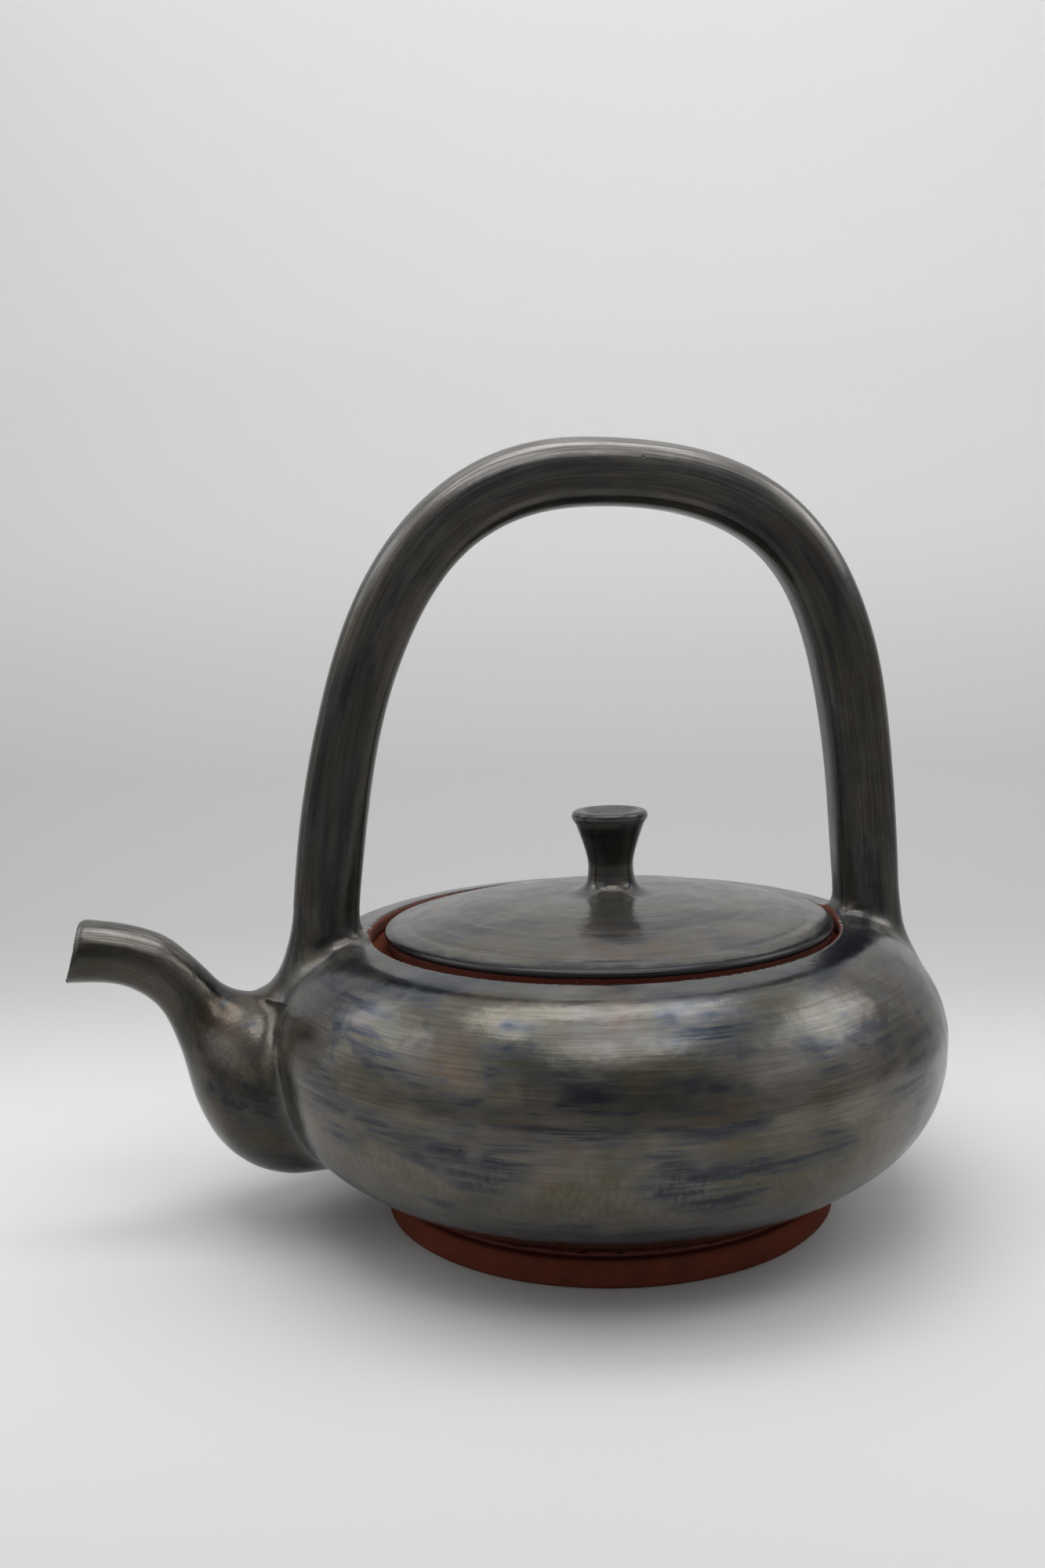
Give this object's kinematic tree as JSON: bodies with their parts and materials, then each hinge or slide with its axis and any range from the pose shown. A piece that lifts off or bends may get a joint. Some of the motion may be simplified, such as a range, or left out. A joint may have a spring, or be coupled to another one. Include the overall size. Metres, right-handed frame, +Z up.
{
  "type": "top-handle teapot",
  "caption": "Low round stoneware teapot with an arched overhead handle, a short upswept spout, a bare foot and a loose domed lid with a waisted knob.",
  "frame": {"origin": "on the surface that the foot stands on, under the middle of the overall length", "axes": "+Z up, -X towards the spout's lip, +Y across; the handle's arch lies in the XZ plane"},
  "size_m": [0.2422, 0.188, 0.2129],
  "materials": {
    "glaze": "dark metallic olive-grey glaze, semi-gloss, streaked with blue-black and rust",
    "bare_clay": "unglazed brick-red stoneware with fine pale grog, matt"
  },
  "bodies": {
    "pot": {"pot_body": "glaze", "foot_ring": "bare_clay", "gallery_ring": "bare_clay", "spout": "glaze", "handle": "glaze"},
    "lid": {"lid_cap": "glaze", "lid_flange": "bare_clay", "lid_knob": "glaze"}
  },
  "joints": [
    {"name": "lid_lift", "type": "slide", "parent": "pot", "child": "lid", "axis": [0, -0.5736, 0.8191], "range_m": [0, 0.2]}
  ]
}
